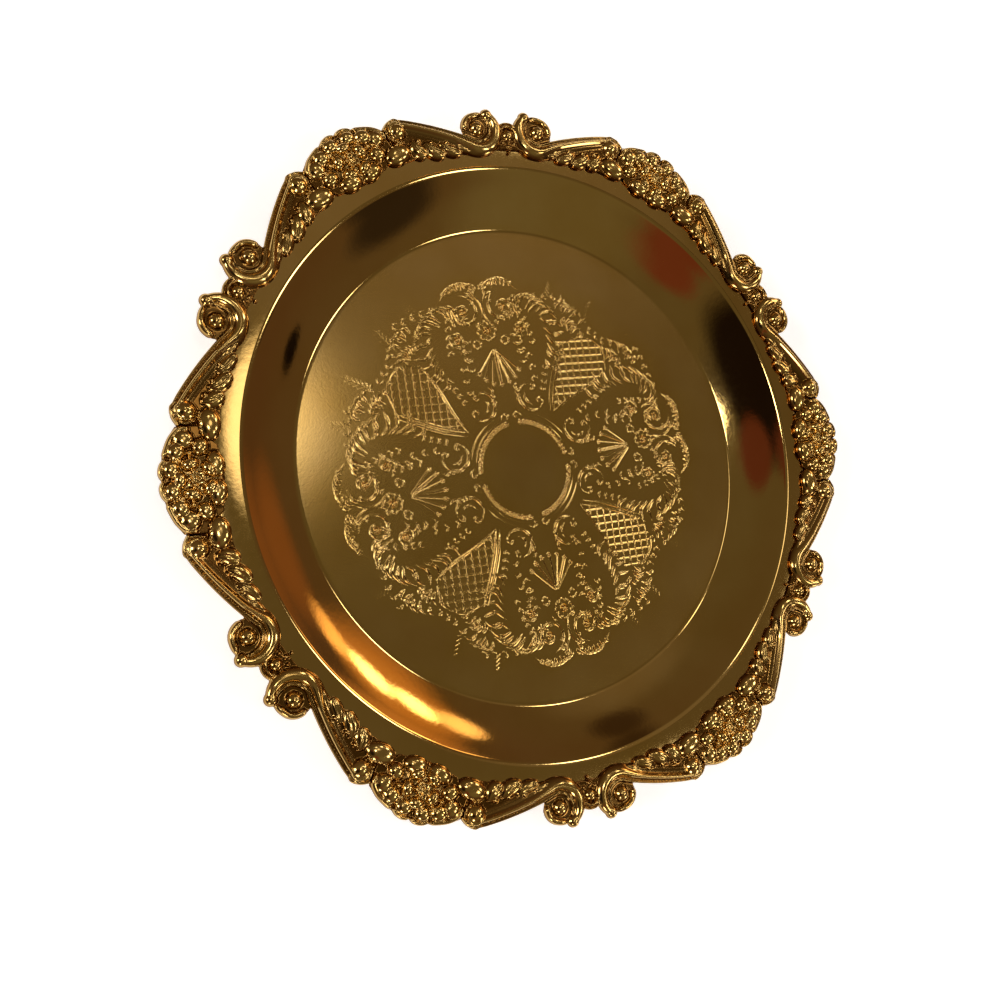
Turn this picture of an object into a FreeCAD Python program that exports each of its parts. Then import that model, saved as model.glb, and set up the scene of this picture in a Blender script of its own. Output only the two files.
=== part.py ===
import FreeCAD, Part
import math
import os
import Sketcher

# Candle plate: a pressed round dish with six cast roses and six cast scroll runs on its flange.
# Millimetres and degrees. +Z is up, the origin is the middle of the underside of the base,
# and the first rose stands on +Y.

DISH_SIZES = [
    ("sheet", 1.0, "thickness of the pressed sheet"),
    ("base_radius", 84.0, "flat base, out to the crease at the foot of the wall"),
    ("wall_run", 18.6, "radial distance from the crease to the rim"),
    ("flange_height", 12.6, "top of the flange above the underside"),
    ("rim_bend", 4.0, "radius of the rounded rim"),
    ("flange_width", 9.1, "flat flange from the rim to the edge of the sheet"),
]
BORDER_SIZES = [
    ("border_offset", 13.6, "radial distance from the rim to the circle of roses and scrolls"),
    ("ground_offset", 6.4, "smooth flange left between the rim and the plate under a scroll run"),
    ("ground_height", 0.8, "plates under the ornaments"),
]
SCROLL_SIZES = [
    ("scroll_angle", 5.78, "from a cusp to the middle of its C-scroll, seen from the plate's axis"),
    ("scroll_radius", 6.9, "middle line of the C-scroll"),
    ("scroll_width", 5.0, "foot of the C-scroll where it is widest"),
    ("scroll_tip_width", 3.2, "foot of the C-scroll at its tip"),
    ("scroll_tip_angle", 126.0, "where the C-scroll ends, counted from +X on the cusp's right"),
    ("roll_height", 2.4, "height of the C-scroll and of the S-roll"),
    ("run_radius", 113.4, "middle line of the S-roll"),
    ("run_width", 4.0, "foot of the S-roll at the volute"),
    ("tip_radius", 2.9, "curl at the tip of the C-scroll"),
    ("tip_height", 2.7, "height of that curl"),
    ("rose_gap", 0.4, "joint between a scroll run and the rose beside it"),
    ("volute_angle", 193.0, "direction from that wing to the volute, counted from the rose's own +X"),
    ("volute_radius", 4.3, "volute at the end of the S-roll"),
    ("volute_height", 2.9, "height of the volute"),
    ("lobe_angle", 300.0, "direction from the volute to its inner lobe, counted the same way"),
    ("lobe_length", 10.0, "inner lobe of the volute, across the rose's axis"),
    ("lobe_width", 7.2, "inner lobe, towards the middle of the plate"),
    ("lobe_height", 2.2, "height of the inner lobe"),
    ("leaf_offset", 4.9, "radial distance from the rim to the tips of the leaves under the S-roll"),
    ("leaf_width", 4.4, "leaf under the S-roll"),
    ("leaf_height", 1.9, "height of a leaf"),
    ("pearl_radius", 2.4, "pearl held by a C-scroll"),
    ("pearl_height", 2.6, "height of the pearl"),
    ("pearl_bed_radius", 3.8, "leaf cup around the pearl"),
    ("link_inset", 2.8, "pearl link of a cusp, inside the circle of roses and scrolls"),
    ("link_radius", 3.4, "pearl link at the cusp"),
    ("link_height", 2.2, "height of the pearl link"),
]
ROSE_SIZES = [
    ("rose_reach", 10.0, "half height of the blossom, which its petals follow"),
    ("petal_height", 2.3, "height of the outer petals"),
    ("inner_ring_radius", 4.3, "circle of the middles of the inner petals"),
    ("inner_petal_length", 5.2, "inner petal, along the circle"),
    ("inner_petal_width", 4.0, "inner petal, outwards"),
    ("inner_petal_height", 2.9, "height of the inner petals"),
    ("bud_radius", 3.0, "bud in the middle of the rose"),
    ("bud_height", 3.5, "height of the bud"),
]

# Outer petals on the right of a rose, in shares of rose_reach: middle across and up from the heart,
# length, width; and how far each is turned from lying straight across.
PETAL_SHARES = {
    "wing": (1.07, 0.36, 1.06, 0.76),
    "crown": (0.33, 0.74, 0.70, 0.62),
    "side": (0.92, -0.20, 0.58, 0.60),
    "lower": (0.44, -0.61, 0.86, 0.56),
}
PETAL_TURNS = {"wing": -29, "crown": -8, "side": 60, "lower": 12}
# Corners on the right of the plate under a rose, in the same shares: the middle two are its joint with
# the scroll run. The shoulder that meets it there reaches that share of the volute's radius outwards.
JOINT_SHARES = [(1.57, -0.12), (1.57, 0.44)]
ROSE_GROUND_SHARES = [(0.6, -0.85), (1.05, -0.25)] + JOINT_SHARES + [(0.7, 0.9)]
SHOULDER_SHARE = 0.9
# Foot of a petal and the hollow of its cup, in shares of its length or width and of its height.
PETAL_FOOT_SHARE = 0.84
PETAL_HOLLOW_SHARE = 0.6
# How far down the crown of a dome is cut back, as a share of its height.
SLOPE_SHARE = 0.6
# Section of a roll, in shares of the width of its foot and of its height.
ROLL_SHARES = [(-0.5, 0.0), (0.5, 0.0), (0.4, 0.68), (0.0, 1.0), (-0.4, 0.68)]
# Outline of a leaf from root to tip on one side, in shares of its length and width, the two ends of
# its crest along it, and the height of its wall.
LEAF_SHARES = [(0.0, 0.25), (0.45, 0.5), (0.85, 0.36)]
CREST_SHARES = (0.2, 0.75)
LEAF_WALL_SHARE = 0.45
# Root and tip of the leaves under an S-roll, in shares of the way along it from the C-scroll.
LEAF_PLACE_SHARES = [(0.40, 0.12), (0.64, 0.36), (0.86, 0.62)]

REPEAT_COUNT = 6
INNER_PETAL_COUNT = 5
FLAT_COUNT = 8
SMALL_FLAT_COUNT = 6
SCROLL_STEP_COUNT = 7
RUN_STEP_COUNT = 4

FULL_TURN = 360
HALF_TURN = FULL_TURN / 2
QUARTER_TURN = FULL_TURN / 4
PERIOD = FULL_TURN / REPEAT_COUNT
ROSE_TURN = -PERIOD / 2
MATCH_SHARE = 1e-4

doc = FreeCAD.newDocument("candle_plate")
sizes = doc.addObject("Spreadsheet::Sheet", "Sizes")
for row, (alias, value, note) in enumerate(DISH_SIZES + BORDER_SIZES + SCROLL_SIZES + ROSE_SIZES, start=1):
    sizes.set(f"A{row}", note)
    sizes.set(f"B{row}", str(value))
    sizes.setAlias(f"B{row}", alias)
doc.recompute()

# Sizes that several pieces share, in the names of the sheet.
RIM_RADIUS = "(Sizes.base_radius + Sizes.wall_run)"
BORDER_RADIUS = f"({RIM_RADIUS} + Sizes.border_offset)"
GROUND_RADIUS = f"({RIM_RADIUS} + Sizes.ground_offset)"


def add_point(name, across, up):
    point = doc.addObject("Part::Vertex", name)
    point.setExpression("X", across)
    point.setExpression("Y", up)
    return point


def coordinates(point):
    """Expressions for the place of a point as plain numbers of millimetres, zero for the plate's axis."""
    return (f"{point.Name}.X / 1 mm", f"{point.Name}.Y / 1 mm") if point else ("0", "0")


def add_point_around(name, middle, radius, angle):
    """Point at that radius and angle from another point, or from the plate's axis where middle is None."""
    across, up = coordinates(middle)
    return add_point(name, f"{across} + {radius} * cos({angle})", f"{up} + {radius} * sin({angle})")


def add_point_between(name, start, end, share):
    ends = zip(coordinates(start), coordinates(end))
    return add_point(name, *[f"{one} + ({other} - {one}) * {share}" for one, other in ends])


def add_line(sketch, start, end):
    return sketch.addGeometry(Part.LineSegment(FreeCAD.Vector(*start, 0), FreeCAD.Vector(*end, 0)), False)


def pin(sketch, geometry, vertex, across=None, up=None):
    """Hold one vertex of a sketch at the given expressions, measured from its origin."""
    place = sketch.getPoint(geometry, vertex)
    for kind, expression, value in (("DistanceX", across, place.x), ("DistanceY", up, place.y)):
        if expression is not None:
            index = sketch.addConstraint(Sketcher.Constraint(kind, -1, 1, geometry, vertex, value))
            sketch.setExpression(f"Constraints[{index}]", expression)


def join(sketch, one, one_vertex, other, other_vertex):
    sketch.addConstraint(Sketcher.Constraint("Coincident", one, one_vertex, other, other_vertex))


def add_section_of_dish(body):
    """Half section of the sheet and its rim corner: the upper face is pinned, the lower is parallel."""
    sketch = body.newObject("Sketcher::SketchObject", "section_of_dish")
    plane = next(item for item in body.Origin.OriginFeatures if item.Role == "XZ_Plane")
    sketch.AttachmentSupport = [(plane, "")]
    sketch.MapMode = "FlatFace"
    rim = sizes.base_radius + sizes.wall_run
    edge = rim + sizes.flange_width
    upper = [(0, sizes.sheet), (sizes.base_radius, sizes.sheet), (rim, sizes.flange_height),
             (edge, sizes.flange_height)]
    lower = [(across, up - sizes.sheet) for across, up in upper]
    top = [add_line(sketch, start, end) for start, end in zip(upper, upper[1:])]
    under = [add_line(sketch, start, end) for start, end in zip(lower, lower[1:])]
    middle_line = add_line(sketch, upper[0], lower[0])
    edge_line = add_line(sketch, upper[-1], lower[-1])
    for chain, end in ((top, 1), (under, 2)):
        for one, following in zip(chain, chain[1:]):
            join(sketch, one, 2, following, 1)
        join(sketch, middle_line, end, chain[0], 1)
        join(sketch, edge_line, end, chain[-1], 2)
        sketch.addConstraint(Sketcher.Constraint("PointOnObject", middle_line, end, -2))
    sketch.addConstraint(Sketcher.Constraint("Vertical", edge_line))
    pin(sketch, top[0], 1, up="Sizes.sheet")
    pin(sketch, top[0], 2, "Sizes.base_radius", "Sizes.sheet")
    pin(sketch, top[1], 2, RIM_RADIUS, "Sizes.flange_height")
    pin(sketch, top[2], 2, f"{RIM_RADIUS} + Sizes.flange_width", "Sizes.flange_height")
    for over, below in zip(top, under):
        sketch.addConstraint(Sketcher.Constraint("Parallel", over, below))
        index = sketch.addConstraint(Sketcher.Constraint("Distance", below, 1, over, sizes.sheet))
        sketch.setExpression(f"Constraints[{index}]", "Sizes.sheet")
    doc.recompute()
    return sketch, sketch.getPoint(top[1], 2)


def circles_at(shape, corner):
    """Names of the circles of a turned shape that pass through one corner of its half section."""
    reach = sizes.sheet * MATCH_SHARE
    names = []
    for number, edge in enumerate(shape.Edges, start=1):
        start = edge.Vertexes[0].Point
        if abs(math.hypot(start.x, start.y) - corner.x) < reach and abs(start.z - corner.y) < reach:
            names.append(f"Edge{number}")
    return names


def make_dish():
    """Flat base, crisp crease, sloping wall, rounded rim and flat flange, turned from one sheet."""
    body = doc.addObject("PartDesign::Body", "dish")
    sketch, rim_corner = add_section_of_dish(body)
    feature = body.newObject("PartDesign::Revolution", "turned_sheet")
    feature.Profile = sketch
    feature.ReferenceAxis = (sketch, ["V_Axis"])
    feature.Angle = FULL_TURN
    doc.recompute()
    rim = body.newObject("PartDesign::Fillet", "rounded_rim")
    rim.Base = (feature, circles_at(feature.Shape, rim_corner))
    rim.setExpression("Radius", "Sizes.rim_bend")
    return body


def add_prism(name, middle, radius, height):
    """Upright block on the flange, with flats in place of a round wall."""
    prism = doc.addObject("Part::Prism", name)
    prism.Polygon = FLAT_COUNT
    prism.setExpression("Circumradius", radius)
    prism.setExpression("Height", height)
    prism.setExpression("Placement.Base.x", f"{middle.Name}.X")
    prism.setExpression("Placement.Base.y", f"{middle.Name}.Y")
    prism.setExpression("Placement.Base.z", "Sizes.flange_height")
    return prism


def add_dome(name, middle, radius, height):
    """Upright block whose crown is cut back all round, as a plain form of a pearl, a petal or a leaf."""
    block = add_prism(f"{name}_block", middle, radius, height)
    doc.recompute()
    crown = block.Placement.Base.z + block.Height.Value
    slope = block.Height.Value * SLOPE_SHARE
    crown_edges = [number for number, edge in enumerate(block.Shape.Edges, start=1)
                   if all(abs(vertex.Z - crown) < slope * MATCH_SHARE for vertex in edge.Vertexes)]
    dome = doc.addObject("Part::Chamfer", name)
    dome.Base = block
    dome.Edges = [(number, slope, slope) for number in crown_edges]
    return dome


def ruled_solid(sections):
    """Solid between sections with as many corners each, of which the last may be a crest or a point."""
    shell = []
    for points in (sections[0], sections[-1]):
        add_facet(shell, points)
    for near, far in zip(sections, sections[1:]):
        for corner in range(len(near)):
            following = (corner + 1) % len(near)
            add_facet(shell, [near[corner], near[following], far[following]])
            add_facet(shell, [near[corner], far[following], far[corner]])
    solid = Part.makeSolid(Part.makeShell(shell))
    if solid.Volume < 0:
        solid.reverse()
    return solid.removeSplitter()


def add_facet(shell, points):
    """Flat facet, left out where its corners fall together on a crest or a point."""
    corners = {tuple(point) for point in points}
    if len(corners) == len(points):
        shell.append(Part.Face(Part.makePolygon(points + points[:1])))


def add_solid(name, sections):
    solid = doc.addObject("Part::Feature", name)
    solid.Shape = ruled_solid(sections)
    return solid


def fuse(name, pieces):
    casting = doc.addObject("Part::MultiFuse", name)
    casting.Shapes = pieces
    casting.Refine = True
    doc.recompute()
    return casting


def place_of(point):
    """Where a point lies on the flange."""
    return FreeCAD.Vector(point.X.Value, point.Y.Value, sizes.flange_height)


def direction(angle):
    return FreeCAD.Vector(math.cos(math.radians(angle)), math.sin(math.radians(angle)), 0)


def lifted(points, height):
    return [point + FreeCAD.Vector(0, 0, height) for point in points]


def add_petal(name, middle, length, width, height, turn, flats=FLAT_COUNT):
    """Oval cup: its wall flares from the foot to the rim, and its hollow dips to the middle."""
    along, across = direction(turn) * (length / 2), direction(turn + QUARTER_TURN) * (width / 2)
    corners = [direction(HALF_TURN * (2 * number + 1) / flats) for number in range(flats)]
    outline = [along * corner.x + across * corner.y for corner in corners]
    foot = [middle + point * PETAL_FOOT_SHARE for point in outline]
    rim = lifted([middle + point for point in outline], height)
    hollow = lifted([middle] * flats, height * PETAL_HOLLOW_SHARE)
    return add_solid(name, [foot, rim, hollow])


def add_leaf(name, root, tip, width, height):
    """Leaf that widens from its root, with an upright wall and a crest along its middle."""
    length, side = tip - root, FreeCAD.Vector(0, 0, 1).cross(tip - root).normalize() * width
    right = [root + length * along + side * across for along, across in LEAF_SHARES]
    left = [root + length * along - side * across for along, across in reversed(LEAF_SHARES)]
    crest = lifted([root + length * share for share in CREST_SHARES], height)
    foot = right + [tip] + left
    ends = [crest[0]] + [crest[1]] * (len(foot) - 2) + [crest[0]]
    return add_solid(name, [foot, lifted(foot, height * LEAF_WALL_SHARE), ends])


def roll_section(middle, radius, angle, side, width):
    """Cross-section of a roll at that radius and angle from a middle, with its right hand on that side."""
    outward = direction(angle)
    places = [(middle + outward * (radius + side * across * width), up) for across, up in ROLL_SHARES]
    return [place + FreeCAD.Vector(0, 0, up * sizes.roll_height) for place, up in places]


def add_roll(scroll, run, volute):
    """C-scroll and S-roll as one roll, ruled from section to section from the tip to the volute."""
    start, sweep = run_of(run, scroll, volute)
    scroll_sweep = start + HALF_TURN - sizes.scroll_tip_angle
    sections = []
    for step in range(SCROLL_STEP_COUNT):
        swell = min(1, 2 * step / SCROLL_STEP_COUNT)
        width = sizes.scroll_tip_width + (sizes.scroll_width - sizes.scroll_tip_width) * swell
        angle = sizes.scroll_tip_angle + scroll_sweep * step / SCROLL_STEP_COUNT
        sections.append(roll_section(place_of(scroll), sizes.scroll_radius, angle, 1, width))
    for step in range(RUN_STEP_COUNT + 1):
        width = sizes.scroll_width + (sizes.run_width - sizes.scroll_width) * step / RUN_STEP_COUNT
        angle = start + sweep * step / RUN_STEP_COUNT
        sections.append(roll_section(place_of(run), sizes.run_radius, angle, -1, width))
    return add_solid("roll", sections)


def run_of(run, scroll, volute):
    """First angle and sweep of the middle line of an S-roll around its own middle."""
    start, end = [angle_of(place_of(point) - place_of(run)) for point in (scroll, volute)]
    return start, end - start


def angle_of(vector):
    return math.degrees(math.atan2(vector.y, vector.x))


def add_leaves(run, scroll, volute):
    """Leaves that hang from the S-roll and lean towards the cusp, with their tips on one circle."""
    start, sweep = run_of(run, scroll, volute)
    tip_radius = sizes.base_radius + sizes.wall_run + sizes.leaf_offset
    leaves = []
    for number, shares in enumerate(LEAF_PLACE_SHARES, start=1):
        angles = [start + sweep * share for share in shares]
        root, above_tip = [place_of(run) + direction(angle) * sizes.run_radius for angle in angles]
        tip = lifted([direction(angle_of(above_tip)) * tip_radius], sizes.flange_height)[0]
        leaves.append(add_leaf(f"leaf_{number}", root, tip, sizes.leaf_width, sizes.leaf_height))
    return leaves


def add_plate(name, outline):
    return add_solid(name, [outline, lifted(outline, sizes.ground_height)])


def add_shoulder(volute, lobe):
    """Plate that closes the outline between the volute and the plate under the rose beside it."""
    heart = place_of(doc.getObject("heart_beside"))
    across, outward = direction(ROSE_TURN), direction(ROSE_TURN + QUARTER_TURN)
    joint = [heart - across * (side * sizes.rose_reach + sizes.rose_gap) + outward * (up * sizes.rose_reach)
             for side, up in JOINT_SHARES]
    top = place_of(volute) + outward * (sizes.volute_radius * SHOULDER_SHARE)
    return add_plate("shoulder", [place_of(lobe), joint[0], joint[1], top, place_of(volute)])


def add_ground(corners, link):
    """Thin plate under half a scroll run: an arc along the flange, closed by lines between ornaments."""
    sketch = doc.addObject("Sketcher::SketchObject", "ground_outline")
    inner_radius = sizes.base_radius + sizes.wall_run + sizes.ground_offset
    places = [(corner.X.Value, corner.Y.Value) for corner in corners + [link]] + [(0, inner_radius)]
    lines = [add_line(sketch, start, end) for start, end in zip(places, places[1:])]
    for one, following in zip(lines, lines[1:]):
        join(sketch, one, 2, following, 1)
    circle = Part.Circle(FreeCAD.Vector(0, 0, 0), FreeCAD.Vector(0, 0, 1), inner_radius)
    first_angle = math.atan2(places[0][1], places[0][0])
    arc = sketch.addGeometry(Part.ArcOfCircle(circle, first_angle, math.pi / 2), False)
    join(sketch, arc, 3, -1, 1)
    join(sketch, arc, 1, lines[0], 1)
    join(sketch, arc, 2, lines[-1], 2)
    for line, corner in zip(lines, corners):
        pin(sketch, line, 1, f"{corner.Name}.X", f"{corner.Name}.Y")
    pin(sketch, lines[-1], 1, up=f"{link.Name}.Y")
    for end in (1, 2):
        sketch.addConstraint(Sketcher.Constraint("PointOnObject", lines[-1], end, -2))
    sketch.setExpression("Placement.Base.z", "Sizes.flange_height")
    ground = doc.addObject("Part::Extrusion", "ground")
    ground.Base = sketch
    ground.Dir = FreeCAD.Vector(0, 0, 1)
    ground.Solid = True
    ground.setExpression("LengthFwd", "Sizes.ground_height")
    return ground


def add_volute_point():
    """Volute beside the rose on the right, a clearance away from the wing of that rose."""
    heart = add_point_around("heart_beside", None, BORDER_RADIUS, ROSE_TURN + QUARTER_TURN)
    across, up = PETAL_SHARES["wing"][:2]
    wing_angle = ROSE_TURN + math.degrees(math.atan2(up, -across))
    wing_distance = f"{math.hypot(across, up)} * Sizes.rose_reach"
    wing = add_point_around("wing_beside", heart, wing_distance, wing_angle)
    wing_radius = f"{PETAL_SHARES['wing'][2] / 2} * Sizes.rose_reach"
    distance = f"({wing_radius} + Sizes.rose_gap + Sizes.volute_radius)"
    return add_point_around("volute", wing, distance, f"({ROSE_TURN} + Sizes.volute_angle)")


def add_run_points(scroll, volute):
    """Middle and two ends of the S-roll's arc, which touches the C-scroll and rounds the volute."""
    across, up = [f"({far} - {near})" for near, far in zip(coordinates(scroll), coordinates(volute))]
    distance = f"hypot({across}; {up})"
    from_scroll = "(Sizes.scroll_radius + Sizes.run_radius)"
    from_volute = "(Sizes.run_radius + Sizes.run_width / 2 - Sizes.volute_radius)"
    along = f"(({from_scroll} ^ 2 - {from_volute} ^ 2 + {distance} ^ 2) / (2 * {distance}))"
    beside = f"sqrt({from_scroll} ^ 2 - {along} ^ 2)"
    first, second = coordinates(scroll)
    run = add_point("run", f"{first} + ({along} * {across} + {beside} * {up}) / {distance}",
                    f"{second} + ({along} * {up} - {beside} * {across}) / {distance}")
    joint = add_point_between("joint", scroll, run, f"Sizes.scroll_radius / {from_scroll}")
    run_end = add_point_between("run_end", run, volute, f"Sizes.run_radius / {from_volute}")
    return run, joint, run_end


def make_scroll_run():
    """One scroll run with its cusp on +Y: the half on the right, its mirror image and the pearl link."""
    scroll = add_point_around("scroll", None, BORDER_RADIUS, f"({QUARTER_TURN} - Sizes.scroll_angle)")
    tip = add_point_around("tip", scroll, "Sizes.scroll_radius", "Sizes.scroll_tip_angle")
    volute = add_volute_point()
    run, joint, run_end = add_run_points(scroll, volute)
    lobe_distance = "(Sizes.volute_radius + Sizes.lobe_width / 2)"
    lobe = add_point_around("lobe", volute, lobe_distance, f"({ROSE_TURN} + Sizes.lobe_angle)")
    doc.recompute()
    foot = add_point_around("foot", None, GROUND_RADIUS, angle_of(place_of(lobe)))
    link = add_point("link", "0", f"{BORDER_RADIUS} - Sizes.link_inset")
    doc.recompute()

    half_lobe = direction(ROSE_TURN) * (sizes.lobe_length / 2)
    pieces = [
        add_ground([foot, lobe, volute, run_end, joint, scroll], link),
        add_shoulder(volute, lobe),
        add_roll(scroll, run, volute),
        add_prism("pearl_bed", scroll, "Sizes.pearl_bed_radius", "Sizes.ground_height"),
        add_dome("pearl", scroll, "Sizes.pearl_radius", "Sizes.pearl_height"),
        add_dome("scroll_tip", tip, "Sizes.tip_radius", "Sizes.tip_height"),
        add_dome("leaf_volute", volute, "Sizes.volute_radius", "Sizes.volute_height"),
        add_leaf("inner_lobe", place_of(lobe) + half_lobe, place_of(lobe) - half_lobe, sizes.lobe_width,
                 sizes.lobe_height),
    ]
    half = fuse("half_scroll_run", pieces + add_leaves(run, scroll, volute))
    other_half = doc.addObject("Part::Mirroring", "other_half_scroll_run")
    other_half.Source = half
    other_half.Normal = FreeCAD.Vector(1, 0, 0)
    pearl_link = add_dome("pearl_link", link, "Sizes.link_radius", "Sizes.link_height")
    return fuse("scroll_run", [half, other_half, pearl_link])


def make_rose():
    """One rose with its heart on +Y."""
    heart = add_point("heart", "0", BORDER_RADIUS)
    doc.recompute()
    middle = place_of(heart)
    corners = ROSE_GROUND_SHARES + [(-across, up) for across, up in reversed(ROSE_GROUND_SHARES)]
    outline = [middle + FreeCAD.Vector(across, up, 0) * sizes.rose_reach for across, up in corners]
    pieces = [
        add_plate("rose_ground", outline),
        add_dome("bud", heart, "Sizes.bud_radius", "Sizes.bud_height"),
    ]
    for kind, shares in PETAL_SHARES.items():
        across, up, length, width = [share * sizes.rose_reach for share in shares]
        for side, sign in (("right", 1), ("left", -1)):
            petal_middle = middle + FreeCAD.Vector(sign * across, up, 0)
            pieces.append(add_petal(f"{kind}_{side}", petal_middle, length, width,
                                    sizes.petal_height, sign * PETAL_TURNS[kind]))
    for number in range(INNER_PETAL_COUNT):
        angle = QUARTER_TURN + number * FULL_TURN / INNER_PETAL_COUNT
        petal_middle = middle + direction(angle) * sizes.inner_ring_radius
        pieces.append(add_petal(f"inner_petal_{number + 1}", petal_middle, sizes.inner_petal_length,
                                sizes.inner_petal_width, sizes.inner_petal_height, angle + QUARTER_TURN,
                                SMALL_FLAT_COUNT))
    return fuse("rose", pieces)


def repeat_around(pattern, name, first_turn):
    """Six copies of one casting around the plate, clockwise seen from above."""
    copies = []
    for number in range(REPEAT_COUNT):
        copy = doc.addObject("Part::Feature", f"{name}_{number + 1}")
        copy.Shape = pattern.Shape.copy()
        turn = FreeCAD.Rotation(FreeCAD.Vector(0, 0, 1), first_turn - number * PERIOD)
        copy.Placement = FreeCAD.Placement(FreeCAD.Vector(0, 0, 0), turn)
        copies.append(copy)
    return copies


nodes = [make_dish()]
nodes += repeat_around(make_rose(), "rose_mount", 0)
nodes += repeat_around(make_scroll_run(), "scroll_mount", ROSE_TURN)
doc.recompute()

for item in doc.Objects:
    if "Invalid" in item.State or "Error" in item.State:
        raise RuntimeError(f"{item.Name} did not build: {item.State}")
for node in nodes:
    node.Label = node.Name
    if node.Shape.isNull() or not node.Shape.isValid() or len(node.Shape.Solids) != 1:
        raise RuntimeError(f"{node.Label} is not one valid solid")

os.makedirs("parts", exist_ok=True)
for node in nodes:
    node.Shape.exportStep(f"parts/{node.Label}.step")
    print(node.Label, round(node.Shape.Volume), len(node.Shape.Faces))
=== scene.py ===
import math

import bmesh
import bpy
import numpy as np
from mathutils import Matrix, Vector


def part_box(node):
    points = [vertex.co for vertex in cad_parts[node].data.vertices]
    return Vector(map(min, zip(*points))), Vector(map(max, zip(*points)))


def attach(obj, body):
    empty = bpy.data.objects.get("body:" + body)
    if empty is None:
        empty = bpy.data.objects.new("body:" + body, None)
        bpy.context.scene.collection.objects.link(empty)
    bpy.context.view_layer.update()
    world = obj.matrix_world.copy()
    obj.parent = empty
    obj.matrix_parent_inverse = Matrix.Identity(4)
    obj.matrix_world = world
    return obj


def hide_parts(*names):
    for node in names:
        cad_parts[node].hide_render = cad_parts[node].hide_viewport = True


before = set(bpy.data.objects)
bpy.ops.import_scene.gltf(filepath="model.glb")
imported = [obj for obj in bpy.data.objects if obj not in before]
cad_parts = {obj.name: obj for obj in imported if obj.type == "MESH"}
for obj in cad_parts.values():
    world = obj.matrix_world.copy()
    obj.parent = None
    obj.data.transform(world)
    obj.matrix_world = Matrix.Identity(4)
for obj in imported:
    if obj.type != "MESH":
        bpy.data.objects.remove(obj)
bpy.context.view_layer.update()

# Lengths are in millimetres and angles in degrees until a mesh is made. +Z is up, the first rose
# stands on +Y, and the border repeats clockwise seen from above.
MM = 0.001
QUARTER_TURN = 90
REPEATS = 6
PERIOD = 360 / REPEATS
CURVE_STEPS = 8

# Dish: its outer edge, the crease at the foot of the wall, the rim at its top, and their bends.
dish_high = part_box("dish")[1]
FLANGE_HEIGHT = dish_high.z / MM
SHEET_RADIUS = dish_high.x / MM
SHEET = 1.0
BASE_RADIUS = 84.0
RIM_RADIUS = 102.6
RIM_BEND = 4.0
WALL_HOLLOW = 0.9
WALL_BEND = 80.0
WALL_SEGMENTS = 512
CREASE_REACH = 1.0
CREASE_FILLET = 3.0
BEND_STEPS = 9

# The flange falls a little from its crest to the edge of the sheet.
FLANGE_CREST = 106.0
FLANGE_DROP = 0.22
FLANGE_BEND = 150.0
EDGE_BEND = 0.35

# Base: a fine grid as far as the chasing reaches, then plain rings out to the crease.
FINE_RADIUS = 77.0
BASE_CELLS = 1000
BASE_EDGE = 0.5

# Castings: the level of their tops, the distance of the roses' hearts from the middle, and how
# finely and how softly their forms run together.
ORNAMENT_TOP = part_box("rose_mount_1")[1].z / MM
BORDER_RADIUS = 116.2
CASTING_GRAIN = 0.19
CASTING_SOFTNESS = 8

# Angle from which an edge stays sharp, for the wall, the base and the castings.
WALL_SHARP_FROM = 30
BASE_SHARP_FROM = 80
CASTING_SHARP_FROM = 180


def polar(radius, angle):
    """Point at that radius and angle from the origin, or points where either is an array."""
    radians = np.radians(angle)
    return np.stack(np.broadcast_arrays(radius * np.cos(radians), radius * np.sin(radians)), -1)


def turned(points, angle):
    """Points turned around the origin in the plane; a third coordinate stays."""
    points = np.array(points, float)
    cosine, sine = math.cos(math.radians(angle)), math.sin(math.radians(angle))
    across, up = points[..., 0].copy(), points[..., 1].copy()
    points[..., 0] = cosine * across - sine * up
    points[..., 1] = sine * across + cosine * up
    return points


def smooth_curve(points):
    """Curve through a few chosen points (Catmull-Rom), as a row of close points."""
    knots = np.array(points, float)
    knots = np.vstack([2 * knots[0] - knots[1], knots, 2 * knots[-1] - knots[-2]])
    share = np.linspace(0, 1, CURVE_STEPS, endpoint=False)[:, None]
    rows = []
    for before, start, end, after in zip(knots, knots[1:], knots[2:], knots[3:]):
        rows.append(0.5 * (2 * start + (end - before) * share
                           + (2 * before - 5 * start + 4 * end - after) * share ** 2
                           + (3 * start - before - 3 * end + after) * share ** 3))
    return np.vstack(rows + [knots[-2]])


def arc(middle, radius, start, end, steps=24):
    """Row of points along an arc."""
    return np.array(middle, float) + polar(radius, np.linspace(start, end, steps))


def spiral(middle, radius, start, sweep, last_share=0.25, steps=40):
    """Row of points that winds in towards the middle, to that share of the first radius."""
    share = np.linspace(0, 1, steps)
    return np.array(middle, float) + polar(radius * last_share ** share, start + sweep * share)


def band(first, second, around):
    """Faces between two rings of points, whose indices start at first and at second."""
    return [[first + corner, first + (corner + 1) % around, second + (corner + 1) % around, second + corner]
            for corner in range(around)]


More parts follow.
